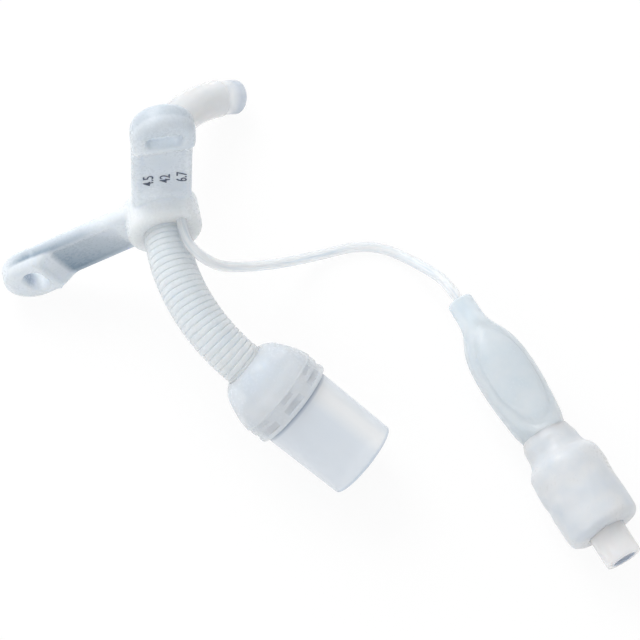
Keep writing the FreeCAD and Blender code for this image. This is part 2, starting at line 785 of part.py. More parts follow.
def make_spring():
    low = value(RETAINER_START) + size("retainer_thick")
    high = value(SEAT_FACE) - size("seal_thick") - size("head_thick")
    wire = size("spring_wire") / 2
    height = high - low - 2 * wire
    turns = size("spring_turns")
    start = low + wire
    helix = Part.makeHelix(height / turns, height, size("spring_radius"))
    helix.translate(Vector(0, 0, start))
    flats = int(size("wire_flats"))
    corners = []
    for flat in range(flats + 1):
        angle = 2 * math.pi * (flat % flats) / flats
        corners.append(Vector(size("spring_radius") + wire * math.cos(angle), 0,
                              start + wire * math.sin(angle)))
    section = Part.makePolygon(corners)
    coil = Part.Wire(helix.Edges).makePipeShell([section], True, True)
    spring = doc.addObject("Part::Feature", "valve_spring")
    spring.Label = "valve_spring"
    spring.Shape = coil
    return spring


# How the tube lies: it is turned until its three feet are level.

def feet():
    """Each foot in the tube's axes: its middle, its axis, its radius and half thickness."""
    angle = math.radians(size("wing_angle"))
    wing = Vector(-math.cos(angle), math.sin(angle), 0) * size("lobe_reach")
    wing.z = size("lobe_lift")
    tip, tip_way = shaft_place(size("shaft_length"))
    boot_start = size("flex_seat") + value(FLEX_VISIBLE)
    mouth = boot_start + size("boot_length") + size("cone_length")
    end, end_way = flex_place(mouth)
    edge = size("tip_round") * 0.3
    return [
        (wing, Z_AXIS, size("lobe_radius"), size("lobe_thick") / 2 - size("lobe_round")),
        (tip, tip_way, size("shaft_diameter") / 2 - edge, 0),
        (end, end_way, size("cone_mouth") / 2 - size("mouth_bevel"), 0),
    ]


def lowest_point(foot, turn):
    middle, axis, radius, half = foot
    way = turn.multVec(axis)
    down = Vector(0, 0, -1)
    across = down - way * down.dot(way)
    across.normalize()
    point = turn.multVec(middle) + across * radius
    if half:
        point = point - way * (math.copysign(half, way.z))
    return point


def resting_turn():
    turn = Rotation(START_X, START_Y, Vector(), "XYZ")
    supports = feet()
    for _ in range(12):
        points = [lowest_point(foot, turn) for foot in supports]
        normal = (points[1] - points[0]).cross(points[2] - points[0])
        normal.normalize()
        if normal.z < 0:
            normal = normal * -1
        turn = Rotation(normal, Z_AXIS).multiply(turn)
    return turn


def make_line(port_end, port_way, route):
    """The inflation line: straight runs joined by arcs, ending at the balloon's neck."""
    points = [port_end] + route
    shares = 0.45
    edges = []
    last = points[0]
    length = 0.0
    for index in range(1, len(points) - 1):
        before = points[index] - points[index - 1]
        after = points[index + 1] - points[index]
        turn = before.getAngle(after)
        reach = shares * min(before.Length, after.Length)
        radius = reach / math.tan(turn / 2)
        print(f"line corner {index}: turn {math.degrees(turn):.0f} degrees,"
              f" radius {radius:.1f} mm, run {before.Length:.1f} mm")
        before.normalize()
        after.normalize()
        first = points[index] - before * reach
        second = points[index] + after * reach
        centre_way = after - before
        centre_way.normalize()
        sagitta = radius / math.cos(turn / 2) - radius
        middle = points[index] + centre_way * sagitta
        edges.append(Part.LineSegment(last, first).toShape())
        edges.append(Part.Arc(first, middle, second).toShape())
        length += (first - last).Length + radius * turn
        last = second
    edges.append(Part.LineSegment(last, points[-1]).toShape())
    length += (points[-1] - last).Length
    path = Part.Wire(edges)
    radius = size("line_diameter") / 2
    section = Part.Wire([Part.Circle(points[0], port_way, radius).toShape()])
    tube = path.makePipeShell([section], True, False)
    print(f"line length {length:.1f} mm, volume {tube.Volume:.2f},"
          f" section times length {math.pi * radius ** 2 * length:.2f}")
    line = doc.addObject("Part::Feature", "inflation_line")
    line.Label = "inflation_line"
    line.Shape = tube
    return line


flange = make_flange()
cannula = make_cannula()
cuff = make_cuff()
extension = make_extension()
boot = make_boot()
connector = make_connector()
balloon = make_balloon()
sleeve = make_sleeve()
valve_body = make_valve_body()
valve_stem = make_valve_stem()
valve_seal = make_washer("valve_seal", "Sizes.stem_rod / 2 + Sizes.seat_gap",
                         "Sizes.stem_head", f"{SEAT_FACE} - Sizes.seal_thick",
                         "Sizes.seal_thick")[0]
valve_retainer = make_retainer()
valve_spring = make_spring()
doc.recompute()

tube_pieces = [flange, cannula, cuff, extension, boot, connector]
valve_pieces = [sleeve, valve_body, valve_stem, valve_seal, valve_retainer, valve_spring]

boot_point, boot_way = flex_place(size("flex_seat") + value(FLEX_VISIBLE))
boot_seat = Placement(boot_point, Rotation(X_AXIS, size("flex_bend")))
boot.Placement = boot_seat
connector.Placement = boot_seat

turn = resting_turn()
for piece in tube_pieces:
    piece.Placement = Placement(Vector(), turn).multiply(piece.Placement)
doc.recompute()
box = FreeCAD.BoundBox()
for piece in tube_pieces:
    box.add(piece.Shape.optimalBoundingBox(False, False))
lift = Placement(Vector(-box.Center.x, -box.Center.y, -box.ZMin), Rotation())
for piece in tube_pieces:
    piece.Placement = lift.multiply(piece.Placement)
tube_place = lift.multiply(Placement(Vector(), turn))
print("middle of the flange", tube_place.Base, "size", box.XLength, box.YLength, box.ZLength)

pilot_way = Vector(*PILOT_WAY)
pilot_start = Vector(PILOT_START[0], PILOT_START[1], size("sleeve_radius"))
pilot_turn = Rotation(Vector(), Z_AXIS * -1, pilot_way, "ZYX")
pilot_place = Placement(pilot_start, pilot_turn)
balloon.Placement = pilot_place
valve_place = pilot_place.multiply(Placement(Vector(0, 0, size("balloon_length")), Rotation()))
for piece in valve_pieces:
    piece.Placement = valve_place

port_end = tube_place.multVec(Vector(size("port_offset"), 0, size("hub_front")))
port_way = tube_place.Rotation.multVec(Z_AXIS)
route = [port_end + port_way * LINE_LEAD] + [Vector(*point) for point in LINE_ROUTE]
route += [pilot_start - pilot_way * NECK_LEAD, pilot_start]
line = make_line(port_end, port_way, route)
doc.recompute()

for item in doc.Objects:
    if "Invalid" in item.State or "Error" in item.State:
        raise RuntimeError(f"{item.Label} failed: {item.State}")

os.makedirs("parts", exist_ok=True)
for piece in tube_pieces + [line, balloon] + valve_pieces:
    shape = piece.Shape
    if shape.isNull() or not shape.isValid() or shape.Volume <= 0:
        raise RuntimeError(f"{piece.Label} has no valid solid")
    shape.exportStep(f"parts/{piece.Label}.step")
    print(f"{piece.Label}: {len(shape.Solids)} solid, {shape.Volume:.1f} mm3")
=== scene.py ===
import math

import bpy
from mathutils import Matrix, Vector


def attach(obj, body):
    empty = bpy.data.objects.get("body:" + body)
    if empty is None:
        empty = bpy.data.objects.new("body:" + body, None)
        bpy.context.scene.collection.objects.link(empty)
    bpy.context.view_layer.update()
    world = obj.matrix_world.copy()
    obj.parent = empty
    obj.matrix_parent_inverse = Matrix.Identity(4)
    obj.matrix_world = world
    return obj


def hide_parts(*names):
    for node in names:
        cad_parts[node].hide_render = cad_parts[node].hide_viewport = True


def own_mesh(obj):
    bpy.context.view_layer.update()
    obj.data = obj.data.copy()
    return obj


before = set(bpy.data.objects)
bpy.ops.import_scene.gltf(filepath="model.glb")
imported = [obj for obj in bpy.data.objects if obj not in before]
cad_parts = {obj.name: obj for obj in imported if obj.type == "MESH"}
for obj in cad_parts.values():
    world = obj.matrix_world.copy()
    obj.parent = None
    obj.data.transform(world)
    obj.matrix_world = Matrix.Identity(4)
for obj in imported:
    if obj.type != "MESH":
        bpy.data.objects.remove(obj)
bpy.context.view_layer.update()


# Camera. The photograph looks down steeply on the table from some way off, a little
# turned, with the flange up and to the left of the middle of the picture.

MM = 0.001
FLANGE_MIDDLE = Vector((-10.430, 2.350, 18.748))
CAMERA_ELEVATION = math.radians(66.0)
CAMERA_ROLL = math.radians(-10.81)
CAMERA_DISTANCE = 456
CAMERA_LENS = 139.2
FLANGE_LEFT = 29.21
FLANGE_ABOVE = 19.81

across = Vector((1, 0, 0))
upward = Vector((0, math.sin(CAMERA_ELEVATION), math.cos(CAMERA_ELEVATION)))
toward = Vector((0, -math.cos(CAMERA_ELEVATION), math.sin(CAMERA_ELEVATION)))
camera_right = across * math.cos(CAMERA_ROLL) - upward * math.sin(CAMERA_ROLL)
camera_up = across * math.sin(CAMERA_ROLL) + upward * math.cos(CAMERA_ROLL)
spot = FLANGE_MIDDLE + camera_right * FLANGE_LEFT - camera_up * FLANGE_ABOVE
spot = (spot + toward * CAMERA_DISTANCE) * MM
bpy.ops.object.camera_add(location=spot)
camera = bpy.context.object
camera.rotation_euler = Matrix((camera_right, camera_up, toward)).transposed().to_euler()
camera.data.lens = CAMERA_LENS
camera.data.clip_start = 0.01
bpy.context.scene.camera = camera


# Inflation line. A limp, clear silicone tube of 2 mm, about 77 mm long. It comes out of
# the hub beside the ribbed extension, folds down to the table, runs over it in a loose
# curve and rises into the neck of the pilot balloon.

LINE_POINTS = [
    (-6.2593, -0.7999, 23.8772),
    (-4.757, -4.692, 24.360),
    (-2.15, -7.0, 24.1),
    (1.5, -7.6, 22.0),
    (4.4, -5.3, 17.6),
    (8.1, -1.7, 12.0),
    (12.0, 2.0, 7.0),
    (15.9, 5.5, 3.2),
    (20.5, 8.7, 1.2),
    (25.7, 11.5, 1.02),
    (31.0, 12.4, 1.02),
    (36.0, 11.0, 1.5),
    (40.4, 8.1, 4.2),
    (44.2795, 4.8271, 7.1),
    (47.1, 1.45, 7.1),
]
LINE_DIAMETER = 0.002
LINE_WALL = 0.55
STREAKS = (4, 9)
STREAK_BLUE = (0.68, 0.77, 0.86, 1)


class Signal:
    """The output of a shader node. An expression on it adds Math nodes."""

    def __init__(self, finish, socket):
        self.finish = finish
        self.socket = socket

    def __add__(self, other):
        return self.finish.maths("ADD", self, other)

    def __radd__(self, other):
        return self.finish.maths("ADD", other, self)

    def __sub__(self, other):
        return self.finish.maths("SUBTRACT", self, other)

    def __rsub__(self, other):
        return self.finish.maths("SUBTRACT", other, self)

    def __mul__(self, other):
        return self.finish.maths("MULTIPLY", self, other)

    def __rmul__(self, other):
        return self.finish.maths("MULTIPLY", other, self)


class Finish:
    """A material, built up one node at a time."""

    def __init__(self, name):
        self.material = bpy.data.materials.new(name)
        self.material.use_nodes = True
        self.tree = self.material.node_tree
        self.tree.nodes.clear()

    def node(self, kind, settings=None, inputs=None, output=0):
        made = self.tree.nodes.new(kind)
        for key, setting in (settings or {}).items():
            setattr(made, key, setting)
        for key, given in (inputs or {}).items():
            if isinstance(given, Signal):
                self.tree.links.new(given.socket, made.inputs[key])
            else:
                made.inputs[key].default_value = given
        return Signal(self, made.outputs[output])

    def maths(self, operation, first, second):
        settings = {"operation": operation}
        return self.node("ShaderNodeMath", settings, {0: first, 1: second})

    def limited(self, given, low, high, start=0.0, end=1.0):
        """Runs from start to end while the given value goes from low to high."""
        ends = {0: given, 1: low, 2: high, 3: start, 4: end}
        return self.node("ShaderNodeMapRange", {"clamp": True}, ends)

    def tint(self, share, first, second):
        colors = {0: share, 6: first, 7: second}
        return self.node("ShaderNodeMix", {"data_type": "RGBA"}, colors, 2)

    def place(self):
        return self.node("ShaderNodeTexCoord", output="Object")

    def noise(self, place, scale, detail=2.0, roughness=0.5):
        inputs = {"Vector": place, "Scale": scale, "Detail": detail, "Roughness": roughness}
        return self.node("ShaderNodeTexNoise", inputs=inputs)

    def near(self, place, point, low, high):
        """1 close to a point given in millimetres, and 0 beyond the second distance."""
        point = tuple(Vector(point) * MM)
        inputs = {0: place, 1: point}
        away = self.node("ShaderNodeVectorMath", {"operation": "DISTANCE"}, inputs, 1)
        return self.limited(away, low * MM, high * MM, 1.0, 0.0)

    def along(self, place, origin, way):
        """How far a place lies from an origin in a direction, in millimetres."""
        ends = {0: place, 1: tuple(origin * MM)}
        offset = self.node("ShaderNodeVectorMath", {"operation": "SUBTRACT"}, ends)
        ends = {0: offset, 1: tuple(way / MM)}
        return self.node("ShaderNodeVectorMath", {"operation": "DOT_PRODUCT"}, ends, 1)

    def bump(self, height, strength, distance):
        inputs = {"Strength": strength, "Distance": distance * MM, "Height": height}
        return self.node("ShaderNodeBump", inputs=inputs)

    def show(self, shader):
        output = self.tree.nodes.new("ShaderNodeOutputMaterial")
        self.tree.links.new(shader.socket, output.inputs["Surface"])

    def surface(self, inputs):
        self.show(self.node("ShaderNodeBsdfPrincipled", inputs=inputs))

    def cover(self, piece):
        piece.data.materials.clear()
        piece.data.materials.append(self.material)


def silicone(name, pale, deep, rough, solid, mottle=230.0, relief=0.05, extra=None,
             clearer=None):
    """Frosted silicone: a milky rubber with faint clouds and a skin of fine grain."""
    finish = Finish(name)
    place = finish.place()
    clouds = finish.noise(place, mottle, 3.0, 0.55)
    grain = finish.noise(place, 1900.0, 2.0)
    shade = finish.limited(clouds, 0.15, 0.85)
    color = finish.tint(shade, (*pale, 1), (*deep, 1))
    if extra:
        color = extra(finish, place, color)
    finish.surface({
        "Base Color": color,
        "Roughness": rough + 0.14 * (grain - 0.5) + 0.1 * (clouds - 0.5),
        "Normal": finish.bump(clouds + 0.06 * grain, 0.4, relief),
        "IOR": 1.41,
        "Alpha": solid - clearer(finish, place) if clearer else solid,
        "Subsurface Weight": 0.7,
        "Subsurface Radius": (0.8, 0.9, 1.0),
        "Subsurface Scale": 0.002,
    })
    return finish


def apply_modifier(piece, kind, **settings):
    bpy.context.view_layer.objects.active = piece
    modifier = piece.modifiers.new(kind.lower(), kind)
    for key, setting in settings.items():
        setattr(modifier, key, setting)
    bpy.ops.object.modifier_apply(modifier=modifier.name)


def only(piece):
    bpy.ops.object.select_all(action="DESELECT")
    piece.select_set(True)
    bpy.context.view_layer.objects.active = piece


line_curve = bpy.data.curves.new("inflation_line_route", "CURVE")
line_curve.dimensions = "3D"
line_spline = line_curve.splines.new("NURBS")
line_spline.points.add(len(LINE_POINTS) - 1)
for point, place in zip(line_spline.points, LINE_POINTS):
    point.co = (*(Vector(place) * MM), 1)
line_spline.order_u = 3
line_spline.use_endpoint_u = True
line_spline.resolution_u = 16
line = bpy.data.objects.new("inflation_tubing", line_curve)
bpy.context.scene.collection.objects.link(line)
bpy.context.view_layer.update()
followed = bpy.data.meshes.new_from_object(line)
line_curve.bevel_depth = LINE_DIAMETER / 2
line_curve.bevel_resolution = 8
line_curve.use_fill_caps = False
only(line)
bpy.ops.object.convert(target="MESH")
line = bpy.context.object
line.name = "inflation_tubing"
bpy.ops.object.mode_set(mode="EDIT")
bpy.ops.mesh.select_all(action="SELECT")
bpy.ops.mesh.remove_doubles(threshold=0.000001)
bpy.ops.mesh.normals_make_consistent(inside=False)
bpy.ops.object.mode_set(mode="OBJECT")
apply_modifier(line, "SOLIDIFY", thickness=LINE_WALL * MM, offset=-1.0)
bpy.ops.object.shade_smooth()


def streaks(finish, place, color):
    """Long streaks that the drawn tube shows in its wall."""
    sheet = finish.node("ShaderNodeUVMap", {"uv_map": line.data.uv_layers.active.name})
    stretch = {"Vector": sheet, "Scale": (*STREAKS, 1)}
    stretched = finish.node("ShaderNodeMapping", inputs=stretch)
    streak = finish.limited(finish.noise(stretched, 1.0, 3.0, 0.6), 0.42, 0.62)
    return finish.tint(streak, color, STREAK_BLUE)


line_finish = silicone("clear_line", (0.98, 0.98, 0.99), (0.92, 0.95, 0.97), 0.08, 0.45,
                       mottle=120.0, relief=0.01, extra=streaks)
line_finish.cover(line)
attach(line, "tube")
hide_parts("inflation_line")


# Neck flange. One soft silicone moulding: a round hub with two straps set in a V, each
# ending in a thick lobe with a slot for the neck tie. The panels of the straps are
# recessed, and the right one carries plain numbers for the tube's sizes in mm.

TUBE_ACROSS = Vector((0.4452, 0.27743, 0.85137))
TUBE_UP = Vector((-0.82087, -0.25339, 0.51182))
TUBE_FORWARD = Vector((0.35772, -0.92673, 0.11493))
WING_ANGLE = math.radians(30.8)
HUB_FRONT = 5.0
FLANGE_VOXEL = 0.22
FLANGE_SWELL = 0.18
STRAP_LEVEL = 1.3
LOBE_LEVEL = 3.15
SHOULDER_START = 20.6
SHOULDER_END = 25.0
SLOT_REACH = 27.3
PANEL_LEVEL = 1.2
PANEL_PAINTED_SHADE = (0.16, 0.25, 0.34, 1)
SLOT_PAINTED_SHADE = (0.25, 0.36, 0.52, 1)
HUB_PAINTED_LIGHT = (0.94, 0.97, 0.99, 1)
NUMBER_REACH = 12.9
NUMBER_SPACING = 3.04
NUMBER_SIZE = 2.7
NUMBER_SHIFT = 0.5
NUMBER_WEIGHT = 0.02
INK_LIFT = 0.03
INK_THICK = 0.04


def axes(x, y, z, origin):
    turn = Matrix((x, y, z)).transposed().to_4x4()
    return Matrix.Translation(origin) @ turn


def merge(threshold=0.001, inside=False):
    bpy.ops.object.mode_set(mode="EDIT")
    bpy.ops.mesh.select_all(action="SELECT")
    bpy.ops.mesh.remove_doubles(threshold=threshold)
    bpy.ops.mesh.normals_make_consistent(inside=inside)
    bpy.ops.object.mode_set(mode="OBJECT")


def seat(piece, place):
    """Put a piece that was made in millimetres, at the world's middle, where it belongs."""
    piece.data.transform(Matrix.Scale(MM, 4) @ place)
    piece.data.update()


tube_place = axes(TUBE_ACROSS, TUBE_UP, TUBE_FORWARD, FLANGE_MIDDLE)
flange = bpy.data.objects.new("flange_moulding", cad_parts["neck_flange"].data.copy())
bpy.context.scene.collection.objects.link(flange)
flange.data.transform(tube_place.inverted() @ Matrix.Scale(1 / MM, 4))
only(flange)
merge(0.0005)
apply_modifier(flange, "REMESH", mode="VOXEL", voxel_size=FLANGE_VOXEL)
# The front of each strap rises gently to the lobe's, and the second remesh evens it out.
for vertex in flange.data.vertices:
    reach = abs(vertex.co.x) * math.cos(WING_ANGLE) + vertex.co.y * math.sin(WING_ANGLE)
    share = (reach - SHOULDER_START) / (SHOULDER_END - SHOULDER_START)
    if 0 < share < 1.05:
        share = min(share, 1)
        rise = share ** 2 * (3 - 2 * share) * (LOBE_LEVEL - STRAP_LEVEL)
        raised = vertex.co.z + rise * (vertex.co.z + STRAP_LEVEL) / (2 * STRAP_LEVEL)
        vertex.co.z = max(vertex.co.z, min(raised, LOBE_LEVEL))
apply_modifier(flange, "REMESH", mode="VOXEL", voxel_size=FLANGE_VOXEL)
apply_modifier(flange, "SMOOTH", factor=0.5, iterations=16)
apply_modifier(flange, "DISPLACE", strength=FLANGE_SWELL, mid_level=0.0)
bpy.ops.object.shade_smooth()
seat(flange, tube_place)

hub_face = tube_place @ Vector((0, 0, HUB_FRONT))


def slot_spot(way, level):
    """The middle of the left (-1) or right (1) slot, in millimetres."""
    across_tube = way * SLOT_REACH * math.cos(WING_ANGLE)
    return tube_place @ Vector((across_tube, SLOT_REACH * math.sin(WING_ANGLE), level))


def flange_painted_shade_and_light(finish, place, color):
    """Painted shade on the panels, deepest on the left one, and in the slots; painted light on
    the hub.
    """
    level = finish.along(place, FLANGE_MIDDLE, TUBE_FORWARD)
    side = finish.along(place, FLANGE_MIDDLE, TUBE_ACROSS)
    height = finish.along(place, FLANGE_MIDDLE, TUBE_UP)
    panel = finish.limited(level, -1.2, 0.9) * finish.limited(level, 1.2, 1.7, 1.0, 0.0)
    across_strap = side * math.sin(WING_ANGLE) + height * math.cos(WING_ANGLE)
    low = finish.limited(across_strap, 3.8, -3.0)
    left = finish.limited(side, -9.5, -5.5, 1.0, 0.0) * finish.limited(side, -24.0, -20.0)
    right = finish.limited(side, 6.0, 9.0)
    right_lobe = finish.limited(side, 18.0, 24.0)
    outward = finish.limited(side, -19.0, -8.0, 1.15, 0.5)
    # Painted shade: the left panel is painted deep blue, more so towards its lower edge and
    # outer end.
    share = left * outward * (0.74 * panel + 0.14 * low)
    # Painted shade: the right panel and the right lobe are painted a little bluer.
    share = share + 0.14 * right * panel + 0.2 * right_lobe
    color = finish.tint(share, color, PANEL_PAINTED_SHADE)
    # Painted shade in the slots: deep in the left one, barely there in the right one.
    for way, depth in ((-1, 0.7), (1, 0.02)):
        slot_shade_mask = finish.near(place, slot_spot(way, 0.5), 2.2, 3.3)
        color = finish.tint(depth * slot_shade_mask, color, SLOT_PAINTED_SHADE)
    # Painted light: the hub's front is painted a lighter milk white.
    return finish.tint(finish.near(place, hub_face, 4.0, 9.5), color, HUB_PAINTED_LIGHT)


def thin_hub(finish, place):
    """The hub's front lets the ribbed tube inside it show through."""
    return 0.3 * finish.near(place, hub_face, 3.5, 7.5)


flange_finish = silicone("flange_rubber", (0.83, 0.87, 0.90), (0.73, 0.78, 0.83), 0.28, 0.78,
                         relief=0.02, extra=flange_painted_shade_and_light, clearer=thin_hub)
flange_finish.cover(flange)
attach(flange, "tube")
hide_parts("neck_flange")

wing_out = Vector((math.cos(WING_ANGLE), math.sin(WING_ANGLE), 0))
wing_side = Vector((-math.sin(WING_ANGLE), math.cos(WING_ANGLE), 0))
printed = []
for row, body in enumerate(("4.5", "42", "6.7")):
    bpy.ops.object.text_add(location=(0, 0, 0))
    number = bpy.context.object
    number.data.body = body
    number.data.size = NUMBER_SIZE
    number.data.align_x = "CENTER"
    number.data.align_y = "CENTER"
    number.data.offset = NUMBER_WEIGHT
    only(number)
    bpy.ops.object.convert(target="MESH")
    number = bpy.context.object
    middle = wing_out * NUMBER_REACH + wing_side * (NUMBER_SPACING * (1 - row) - NUMBER_SHIFT)
    middle.z = PANEL_LEVEL
    seat(number, tube_place @ axes(wing_out, wing_side, Vector((0, 0, 1)), middle))
    printed.append(number)
only(printed[0])
for number in printed:
    number.select_set(True)
bpy.ops.object.join()
numbers = bpy.context.object
numbers.name = "size_numbers"
merge(0.0000005)
apply_modifier(numbers, "SHRINKWRAP", target=flange, wrap_mode="ABOVE_SURFACE",
               offset=INK_LIFT * MM)
apply_modifier(numbers, "SOLIDIFY", thickness=INK_THICK * MM, offset=1.0)

ink = Finish("number_ink")
ink_wear = ink.noise(ink.place(), 3000.0, 3.0)
ink.surface({
    "Base Color": ink.tint(ink_wear, (0.03, 0.04, 0.07, 1), (0.12, 0.15, 0.22, 1)),
    "Roughness": 0.45 + 0.2 * ink_wear,
})
ink.cover(numbers)
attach(numbers, "tube")


# Cannula. A silicone tube of 6.7 mm over 4.5 mm, extruded and cured in a bend of about
# 78 degrees, with a rounded tip. Its straight front end is bonded inside the hub.

SHAFT_RADIUS = 3.35
SHAFT_BORE = 2.25
SHAFT_FRONT = 5.3
SHAFT_ARC = 41.0
SHAFT_BEND = math.radians(78.4)
BEND_START = 2.3
TIP_ROUND = 0.7
TIP_BREAK = 0.12
TIP_MIDDLE = (-2.1, 37.75, 2.86)
TIP_PAINTED_SHADE = (0.50, 0.57, 0.66, 1)


def round_stations(points):
    """Round stations for a shell, from points of radius and level."""
    return [(radius, radius, level) for radius, level in points]


def shell(name, stations, sides):
    """Extrude a circle through stations of half width, half height and level."""
    bpy.ops.object.select_all(action="DESELECT")
    bpy.ops.mesh.primitive_circle_add(vertices=sides, radius=1)
    piece = bpy.context.object
    piece.name = name
    bpy.ops.object.mode_set(mode="EDIT")
    bpy.ops.mesh.select_all(action="SELECT")
    wide, high, level = stations[0]
    bpy.ops.transform.resize(value=(wide, high, 1), center_override=(0, 0, 0))
    bpy.ops.transform.translate(value=(0, 0, level))
    for next_wide, next_high, next_level in stations[1:]:
        lift = {"value": (0, 0, next_level - level)}
        bpy.ops.mesh.extrude_region_move(TRANSFORM_OT_translate=lift)
        spread = (next_wide / wide, next_high / high, 1)
        bpy.ops.transform.resize(value=spread, center_override=(0, 0, next_level))
        wide, high, level = next_wide, next_high, next_level
    bpy.ops.object.mode_set(mode="OBJECT")
    merge()
    return piece


def steps(start, end, count):
    """Levels from start to end, both left out."""
    return [start + (end - start) * step / count for step in range(1, count)]


def quarter(radius, level, turn_in, turn_up, count=5):
    """A rounded corner, from a point towards the axis and along it."""
    points = []
    for step in range(count + 1):
        angle = math.pi / 2 * step / count
        points.append((radius - turn_in * (1 - math.cos(angle)),
                       level + turn_up * math.sin(angle)))
    return points


def bend(piece, length, angle):
    """Bend what lies between level 0 and the length towards -y; the rest stays straight."""
    levels = [vertex.co.z for vertex in piece.data.vertices]
    low, high = min(levels), max(levels)
    limits = ((0 - low) / (high - low), (length - low) / (high - low))
    apply_modifier(piece, "SIMPLE_DEFORM", deform_method="BEND", deform_axis="X",
                   angle=-angle, limits=limits)


def settle(piece, place, crease):
    """Smooth a piece except at edges sharper than the crease angle, and put it in place."""
    only(piece)
    bpy.ops.object.shade_smooth_by_angle(angle=math.radians(crease))
    seat(piece, place)


shaft_profile = [(SHAFT_BORE, -SHAFT_FRONT), (SHAFT_RADIUS, -SHAFT_FRONT), (SHAFT_RADIUS, 0)]
shaft_profile += [(SHAFT_RADIUS, level) for level in steps(0, SHAFT_ARC - TIP_ROUND, 50)]
shaft_profile += quarter(SHAFT_RADIUS, SHAFT_ARC - TIP_ROUND, TIP_ROUND, TIP_ROUND)
shaft_profile += [(SHAFT_BORE + TIP_BREAK, SHAFT_ARC), (SHAFT_BORE, SHAFT_ARC - TIP_BREAK)]
shaft_profile += [(SHAFT_BORE, level) for level in steps(SHAFT_ARC - TIP_BREAK, 0, 50)]
shaft_profile += [(SHAFT_BORE, 0), (SHAFT_BORE, -SHAFT_FRONT)]
shaft = shell("cannula_tube", round_stations(shaft_profile), 72)
bend(shaft, SHAFT_ARC, SHAFT_BEND)
shaft_place = (tube_place @ Matrix.Translation((0, 0, -BEND_START))
               @ Matrix.Rotation(math.pi, 4, "Y"))
settle(shaft, shaft_place, 40)


def tip_painted_shade(finish, place, color):
    """Painted shade: the colour round the tip is painted bluer than the rest of the tube."""
    return finish.tint(finish.near(place, TIP_MIDDLE, 3.8, 5.2), color, TIP_PAINTED_SHADE)


shaft_finish = silicone("cannula_rubber", (0.97, 0.98, 0.99), (0.84, 0.88, 0.93), 0.24, 0.46,
                        extra=tip_painted_shade)
shaft_finish.cover(shaft)
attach(shaft, "tube")
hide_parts("cannula")


# Cuff. A thin silicone sleeve that shrinks tight on the cannula's lower part when it is
# let down. Its feathered ends are glued to the cannula.

CUFF_RADIUS = 3.65
CUFF_START = 21.0
CUFF_END = 36.0
CUFF_FEATHER = 0.2
CUFF_EDGE = 0.35
CUFF_INSIDE = SHAFT_RADIUS + 0.03

cuff_profile = [(CUFF_INSIDE, CUFF_START), (CUFF_RADIUS - CUFF_FEATHER, CUFF_START)]
cuff_profile += [(CUFF_RADIUS, CUFF_START + CUFF_EDGE)]
for level in steps(CUFF_START + CUFF_EDGE, CUFF_END - CUFF_EDGE, 26):
    cuff_profile.append((CUFF_RADIUS, level))
cuff_profile += [(CUFF_RADIUS, CUFF_END - CUFF_EDGE), (CUFF_RADIUS - CUFF_FEATHER, CUFF_END)]
cuff_profile += [(CUFF_INSIDE, CUFF_END)]
cuff_profile += [(CUFF_INSIDE, level) for level in steps(CUFF_END, CUFF_START, 26)]
cuff_profile += [(CUFF_INSIDE, CUFF_START)]
cuff = shell("cuff_sleeve", round_stations(cuff_profile), 72)
apply_modifier(cuff, "SIMPLE_DEFORM", deform_method="BEND", deform_axis="X",
               angle=-SHAFT_BEND * (CUFF_END - CUFF_START) / SHAFT_ARC)
settle(cuff, shaft_place, 40)
cuff_finish = silicone("cuff_film", (0.97, 0.98, 0.99), (0.86, 0.90, 0.94), 0.2, 0.35)
cuff_finish.cover(cuff)
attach(cuff, "tube")
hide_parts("cuff")


# Extension. A ribbed silicone tube that lets the connector swing away from the neck. It
# is moulded straight with fine ribs and set here in its bend; its ends are bonded.

RIB_CREST = 4.15
RIB_COUNT = 26
FLEX_BORE = 2.8
FLEX_START = 3.0
FLEX_STRAIGHT_END = 8.0
FLEX_RADIUS = 29.0
FLEX_BEND = math.radians(52.8)
FLEX_SEAT = 2.0
FLEX_TAIL = 5.1
RIB_FORM = [(0.3, 4.14), (0.41, 4.09), (0.47, 3.93), (0.53, 3.93), (0.59, 4.09), (0.7, 4.14),
            (1.0, RIB_CREST)]

flex_arc = FLEX_RADIUS * FLEX_BEND
first_rib = FLEX_START + FLEX_SEAT - FLEX_STRAIGHT_END
flex_end = flex_arc + FLEX_TAIL
flex_begin = FLEX_START - FLEX_STRAIGHT_END
pitch = (flex_arc - first_rib) / RIB_COUNT
flex_profile = [(FLEX_BORE, flex_begin), (RIB_CREST, flex_begin), (RIB_CREST, first_rib)]
for rib in range(RIB_COUNT):
    for share, radius in RIB_FORM:
        flex_profile.append((radius, first_rib + (rib + share) * pitch))
flex_profile += [(RIB_CREST, flex_end), (FLEX_BORE, flex_end)]
flex_profile += [(FLEX_BORE, level) for level in steps(flex_end, flex_begin, 30)]
flex_profile += [(FLEX_BORE, flex_begin)]
extension = shell("ribbed_extension", round_stations(flex_profile), 72)
bend(extension, flex_arc, FLEX_BEND)
settle(extension, tube_place @ Matrix.Translation((0, 0, FLEX_STRAIGHT_END)), 50)
extension_finish = silicone("extension_rubber", (0.86, 0.90, 0.93), (0.76, 0.82, 0.88),
                            0.28, 0.72)
extension_finish.cover(extension)
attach(extension, "tube")
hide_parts("extension_sleeve")


# Boot. A soft silicone dome that holds the connector to the end of the extension. Two
# rows of shallow windows run round it under the rim, and a fine bead where it turns down.

BOOT_RADIUS = 8.7
BOOT_DOME = [(4.55, 0.0), (5.45, 0.5), (6.46, 1.5), (7.25, 2.9), (7.9, 4.5), (8.22, 5.3),
             (8.45, 6.1), (8.6, 6.9), (8.7, 7.5)]
WINDOW_COUNT = 8
WINDOW = {"width": 4.3, "low": 9.5, "high": 10.7, "depth": 0.35}
VENT = {"width": 2.6, "low": 7.95, "high": 8.75, "depth": 0.2}

boot_spot = Vector((0, FLEX_RADIUS * (math.cos(FLEX_BEND) - 1),
                    FLEX_STRAIGHT_END + FLEX_RADIUS * math.sin(FLEX_BEND)))
boot_turn = Matrix.Rotation(FLEX_BEND, 4, "X")
boot_place = tube_place @ Matrix.Translation(boot_spot) @ boot_turn


